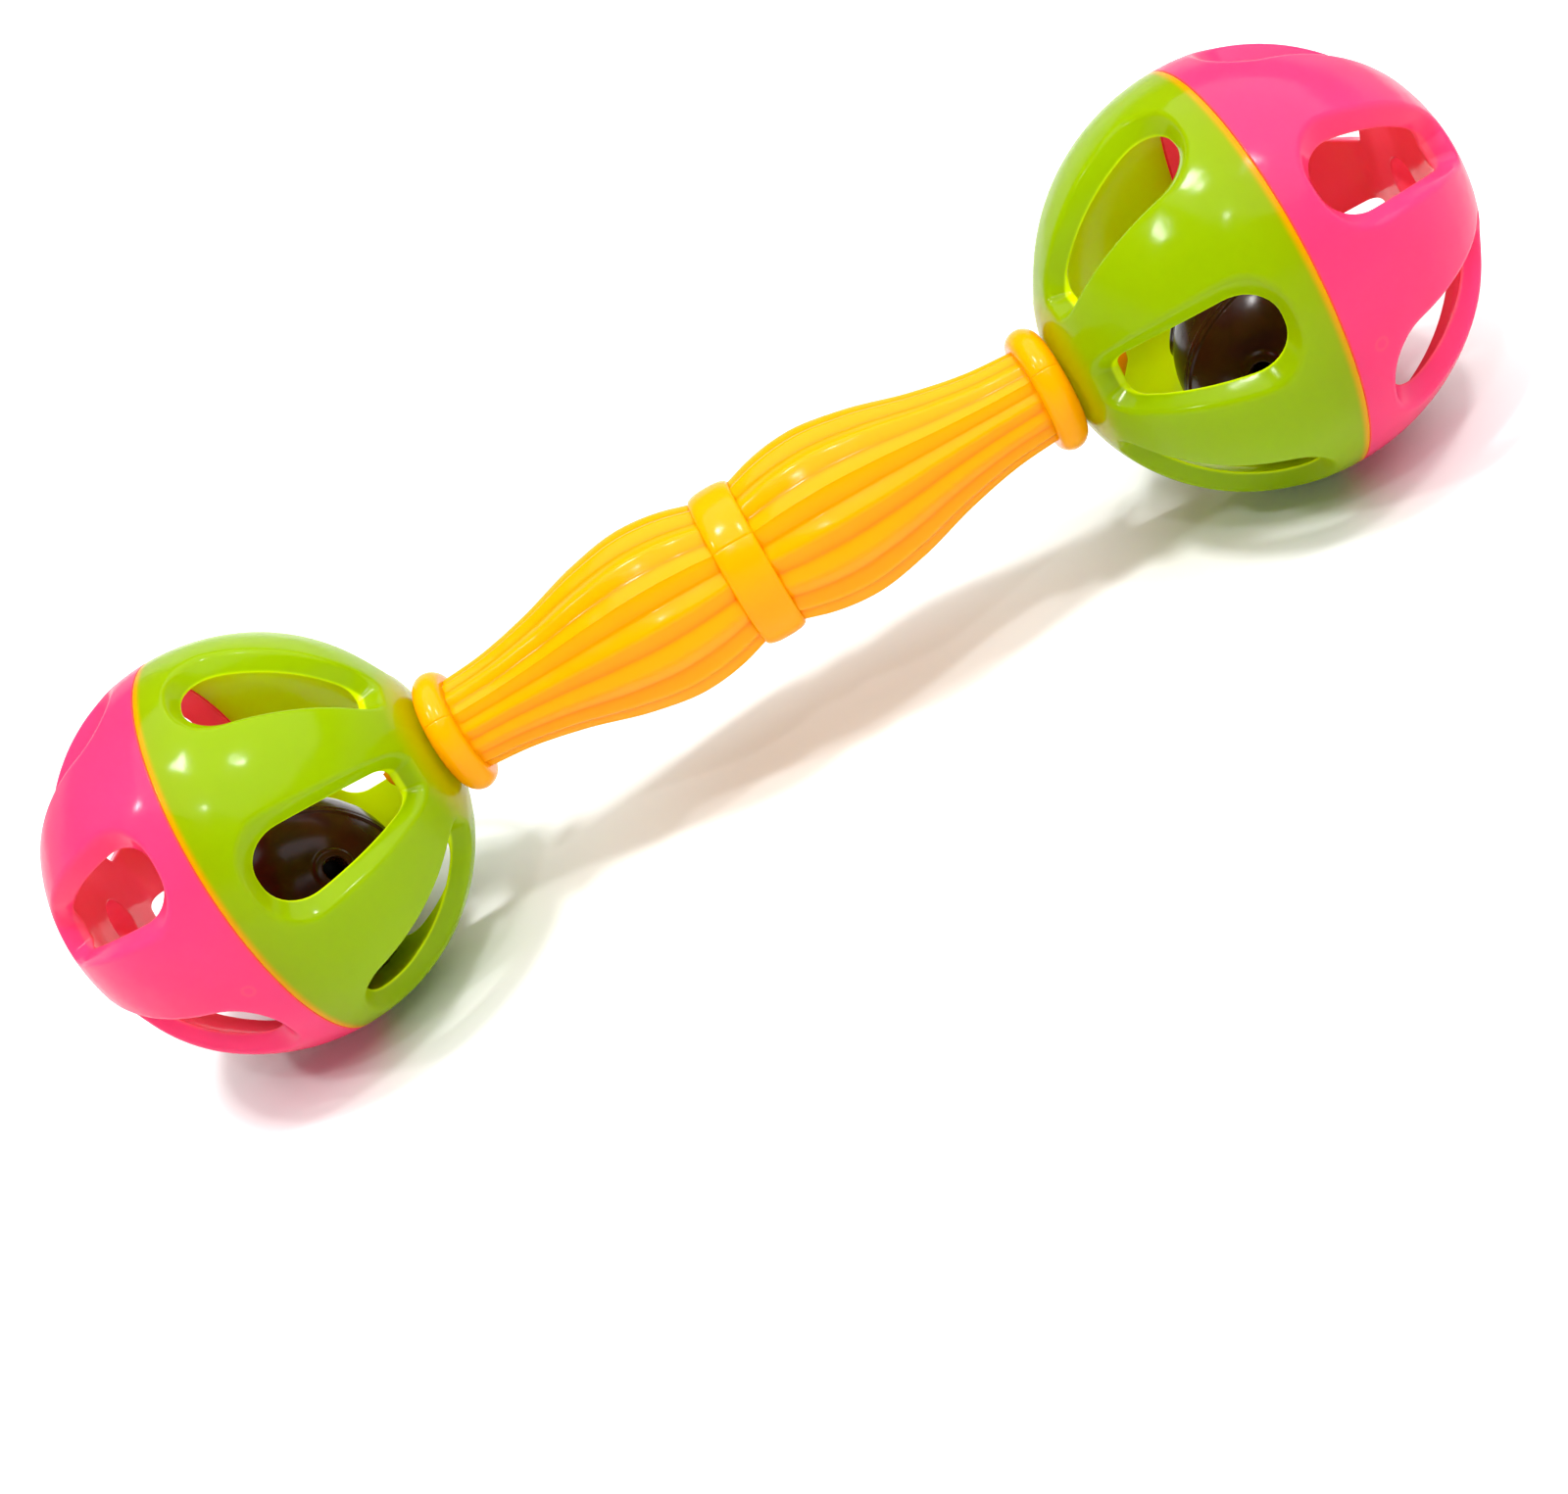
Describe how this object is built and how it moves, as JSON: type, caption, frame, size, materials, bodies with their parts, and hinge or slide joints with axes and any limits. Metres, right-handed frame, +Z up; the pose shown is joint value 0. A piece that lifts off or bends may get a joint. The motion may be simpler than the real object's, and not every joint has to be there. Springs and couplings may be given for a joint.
{
  "type": "baby rattle",
  "caption": "Dumbbell rattle: ribbed hollow handle with a spinning windowed cage ball on each end, and a loose drilled rattle ball in each cage.",
  "frame": {"origin": "under the middle of the handle, on the surface that both cage balls stand on", "axes": "+X along the handle to the right cage ball, +Z up"},
  "size_m": [0.2002, 0.055, 0.055],
  "materials": {
    "amber_plastic": "moulded gloss",
    "lime_plastic": "moulded gloss, faintly translucent",
    "pink_plastic": "moulded gloss, faintly translucent",
    "dark_plastic": "moulded gloss",
    "pellet_plastic": "smooth"
  },
  "bodies": {
    "handle": {"handle_lower_shell": "amber_plastic", "handle_upper_shell": "amber_plastic"},
    "left_cage": {"left_cage_inner_half": "lime_plastic", "left_cage_outer_half": "pink_plastic"},
    "left_rattle_ball": {"left_rattle_ball_front_half": "dark_plastic", "left_rattle_ball_back_half": "dark_plastic"},
    "left_pellet_1": {"left_pellet_1": "pellet_plastic"},
    "left_pellet_2": {"left_pellet_2": "pellet_plastic"},
    "left_pellet_3": {"left_pellet_3": "pellet_plastic"},
    "right_cage": {"right_cage_inner_half": "lime_plastic", "right_cage_outer_half": "pink_plastic"},
    "right_rattle_ball": {"right_rattle_ball_front_half": "dark_plastic", "right_rattle_ball_back_half": "dark_plastic"},
    "right_pellet_1": {"right_pellet_1": "pellet_plastic"},
    "right_pellet_2": {"right_pellet_2": "pellet_plastic"},
    "right_pellet_3": {"right_pellet_3": "pellet_plastic"}
  },
  "joints": [
    {"name": "left_cage_spin", "type": "hinge", "parent": "handle", "child": "left_cage", "pos_m": [-0.0732, 0, 0.0275], "axis": [1, 0, 0], "continuous": true},
    {"name": "left_rattle_ball_bounce", "type": "slide", "parent": "handle", "child": "left_rattle_ball", "axis": [0, 0, 1], "range_m": [0, 0.0212]},
    {"name": "left_pellet_1_bounce", "type": "slide", "parent": "left_rattle_ball", "child": "left_pellet_1", "axis": [0, 0, 1], "range_m": [0, 0.0168]},
    {"name": "left_pellet_2_bounce", "type": "slide", "parent": "left_rattle_ball", "child": "left_pellet_2", "axis": [0, 0, 1], "range_m": [0, 0.0168]},
    {"name": "left_pellet_3_bounce", "type": "slide", "parent": "left_rattle_ball", "child": "left_pellet_3", "axis": [0, 0, 1], "range_m": [0, 0.0168]},
    {"name": "right_cage_spin", "type": "hinge", "parent": "handle", "child": "right_cage", "pos_m": [0.0732, 0, 0.0275], "axis": [1, 0, 0], "continuous": true},
    {"name": "right_rattle_ball_bounce", "type": "slide", "parent": "handle", "child": "right_rattle_ball", "axis": [0, 0, 1], "range_m": [0, 0.0212]},
    {"name": "right_pellet_1_bounce", "type": "slide", "parent": "right_rattle_ball", "child": "right_pellet_1", "axis": [0, 0, 1], "range_m": [0, 0.0168]},
    {"name": "right_pellet_2_bounce", "type": "slide", "parent": "right_rattle_ball", "child": "right_pellet_2", "axis": [0, 0, 1], "range_m": [0, 0.0168]},
    {"name": "right_pellet_3_bounce", "type": "slide", "parent": "right_rattle_ball", "child": "right_pellet_3", "axis": [0, 0, 1], "range_m": [0, 0.0168]}
  ]
}
